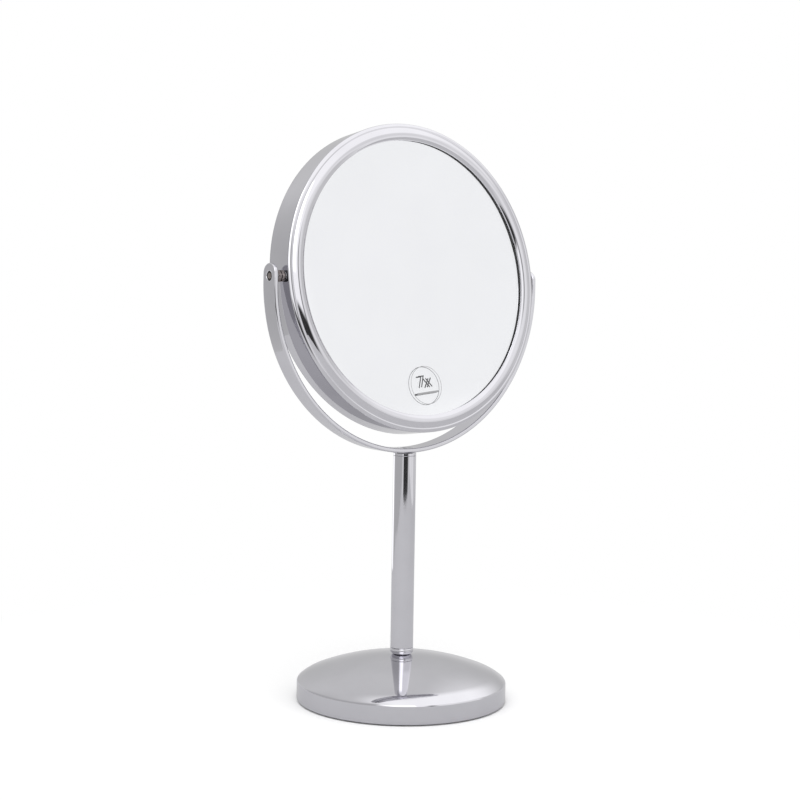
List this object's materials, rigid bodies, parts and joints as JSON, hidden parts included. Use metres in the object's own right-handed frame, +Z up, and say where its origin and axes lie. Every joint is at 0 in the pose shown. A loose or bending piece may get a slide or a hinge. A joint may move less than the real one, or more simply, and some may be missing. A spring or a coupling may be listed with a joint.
{
  "type": "tabletop shaving mirror",
  "caption": "Round two-sided shaving mirror on a weighted stand: the head turns over on two side pivots in a U-shaped yoke to show its magnifying or its plain glass.",
  "frame": {"origin": "middle of the base's underside, on the surface that the mirror stands on", "axes": "+Z up; -Y is the front, where the magnifying glass looks at rest; +X is to the right of someone who faces the front"},
  "size_m": [0.215, 0.1376, 0.3764],
  "materials": {
    "chrome": "polished chrome plate",
    "mirror": "silvered glass",
    "zinc_steel": "zinc-plated steel, dull",
    "cast_iron": "rough casting",
    "nylon": "black nylon",
    "black_plastic": "moulded ABS, matt",
    "foam": "closed-cell EVA foam",
    "ink": "screen print on thin film"
  },
  "bodies": {
    "stand": {"base_pad": "foam", "base_plate": "zinc_steel", "base_ballast": "cast_iron", "base_shell": "chrome", "stem_bolt": "zinc_steel", "bolt_washer": "zinc_steel", "bolt_spring_washer": "zinc_steel", "stem_foot": "chrome", "stem_tube": "chrome", "stem_plug": "chrome", "yoke": "chrome", "yoke_screw": "zinc_steel", "arm_bush_left": "nylon", "arm_bush_right": "nylon", "friction_washer_left": "zinc_steel", "friction_washer_right": "zinc_steel"},
    "head": {"head_drum": "chrome", "front_bezel": "chrome", "rear_bezel": "chrome", "magnifying_glass": "mirror", "plain_glass": "mirror", "core_ring": "black_plastic", "front_cushion": "foam", "rear_cushion": "foam", "glass_mark": "ink", "pivot_stud_left": "zinc_steel", "pivot_stud_right": "zinc_steel", "inner_nut_left": "zinc_steel", "inner_nut_right": "zinc_steel", "outer_nut_left": "chrome", "outer_nut_right": "chrome"}
  },
  "joints": [
    {"name": "head_tilt", "type": "hinge", "parent": "stand", "child": "head", "pos_m": [0, 0, 0.276], "axis": [1, 0, 0], "continuous": true}
  ]
}
